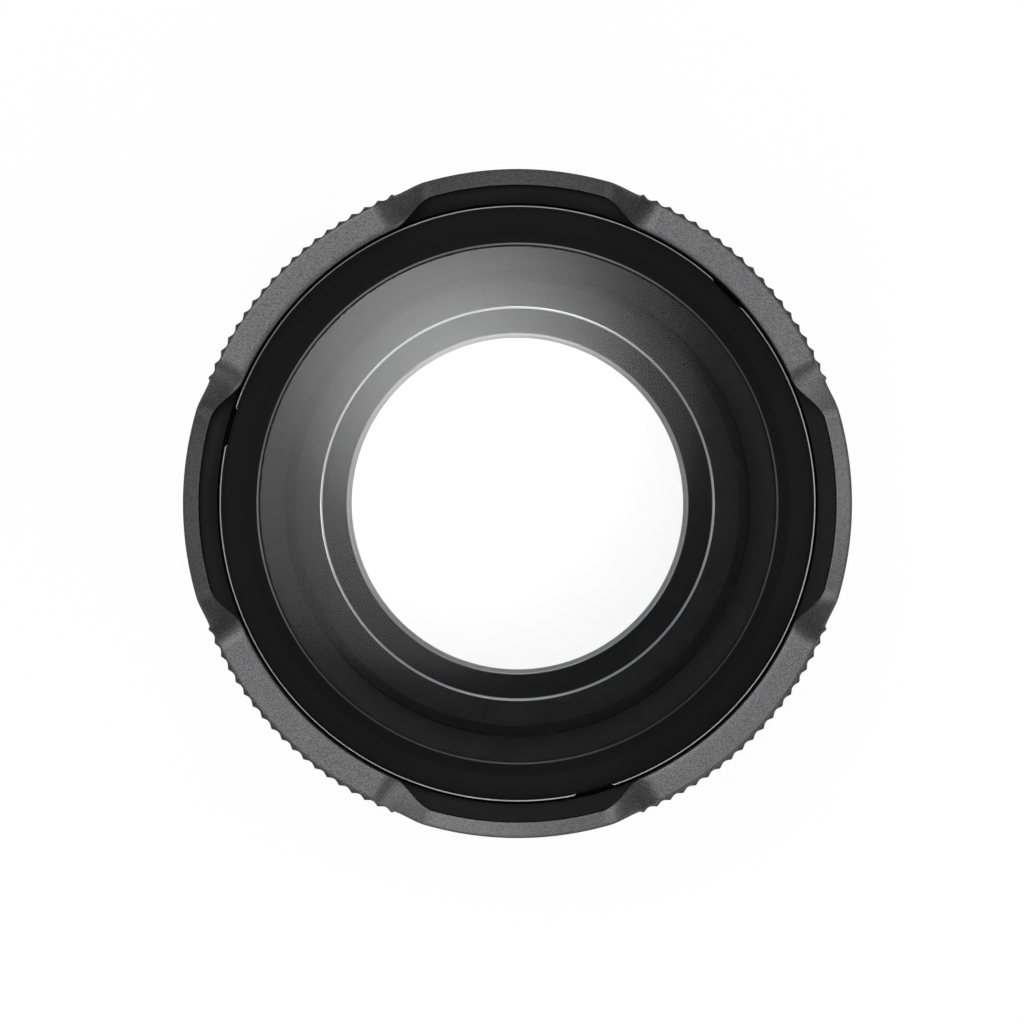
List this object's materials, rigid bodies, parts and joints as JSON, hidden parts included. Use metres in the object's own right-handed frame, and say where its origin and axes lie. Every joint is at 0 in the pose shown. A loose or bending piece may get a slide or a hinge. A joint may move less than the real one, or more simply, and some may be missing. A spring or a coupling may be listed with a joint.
{
  "type": "clip-on macro lens",
  "caption": "Clip-on macro lens: a ring with knurled pads turns a helical cam that slides the front glass, and sprung side jaws hold its rear spigot in a filter thread.",
  "frame": {"origin": "centre of the rear face of the clip_spigot, on the optical axis, at the bottom of the part", "axes": "+Z along the optical axis towards the front glass, +X towards one clip jaw, +Y upwards in the picture"},
  "size_m": [0.044, 0.044, 0.0236],
  "materials": {
    "clip_body": "fine moulded grain, black",
    "jaw_plastic": "satin moulded, black",
    "screw_steel": "blackened steel",
    "spring_steel": "drawn spring wire",
    "barrel": "black anodised, turned",
    "sleeve_retainer": "black anodised, turned",
    "washer_plastic": "smooth, off-white",
    "rear_cell": "black anodised, lip bare",
    "rear_lens": "polished and coated",
    "rear_retainer": "smooth black anodised",
    "baffle_ring": "blasted and black anodised",
    "cam_sleeve": "smooth black anodised",
    "focus_ring": "blasted and black anodised",
    "front_cell": "matt black inside",
    "front_lens": "polished and coated",
    "front_bezel": "satin black anodised",
    "pin_steel": "ground",
    "roller_brass": "turned"
  },
  "bodies": {
    "housing": {"clip_body": "clip_body", "case_screw_1": "screw_steel", "case_screw_2": "screw_steel", "case_screw_3": "screw_steel", "case_screw_4": "screw_steel", "clip_spring_right_a": "spring_steel", "clip_spring_right_b": "spring_steel", "clip_spring_left_a": "spring_steel", "clip_spring_left_b": "spring_steel", "barrel": "barrel", "sleeve_retainer": "sleeve_retainer", "thrust_washer": "washer_plastic", "rear_cell": "rear_cell", "rear_lens": "rear_lens", "rear_retainer": "rear_retainer", "baffle_ring": "baffle_ring"},
    "focus": {"cam_sleeve": "cam_sleeve", "focus_ring": "focus_ring"},
    "front": {"front_cell": "front_cell", "front_lens": "front_lens", "front_bezel": "front_bezel", "cam_pin_1": "pin_steel", "cam_roller_1": "roller_brass", "cam_pin_2": "pin_steel", "cam_roller_2": "roller_brass", "cam_pin_3": "pin_steel", "cam_roller_3": "roller_brass"},
    "jaw_right": {"clip_right": "jaw_plastic"},
    "jaw_left": {"clip_left": "jaw_plastic"}
  },
  "joints": [
    {"name": "focus_turn", "type": "hinge", "parent": "housing", "child": "focus", "pos_m": [0, 0, 0.013], "axis": [0, 0, 1], "range_deg": [0, 90]},
    {"name": "cell_travel", "type": "slide", "parent": "housing", "child": "front", "axis": [0, 0, 1], "range_m": [0, 0.003]},
    {"name": "jaw_right_squeeze", "type": "slide", "parent": "housing", "child": "jaw_right", "axis": [-1, 0, 0], "range_m": [0, 0.0012], "stiffness_N_per_m": 1500, "springref_m": -0.001, "deforming": ["clip_spring_right_a", "clip_spring_right_b"]},
    {"name": "jaw_left_squeeze", "type": "slide", "parent": "housing", "child": "jaw_left", "axis": [1, 0, 0], "range_m": [0, 0.0012], "stiffness_N_per_m": 1500, "springref_m": -0.001, "deforming": ["clip_spring_left_a", "clip_spring_left_b"]}
  ],
  "couplings": [
    {"joint": "focus_turn", "follows": "cell_travel", "rad_per_m": 523.6}
  ]
}
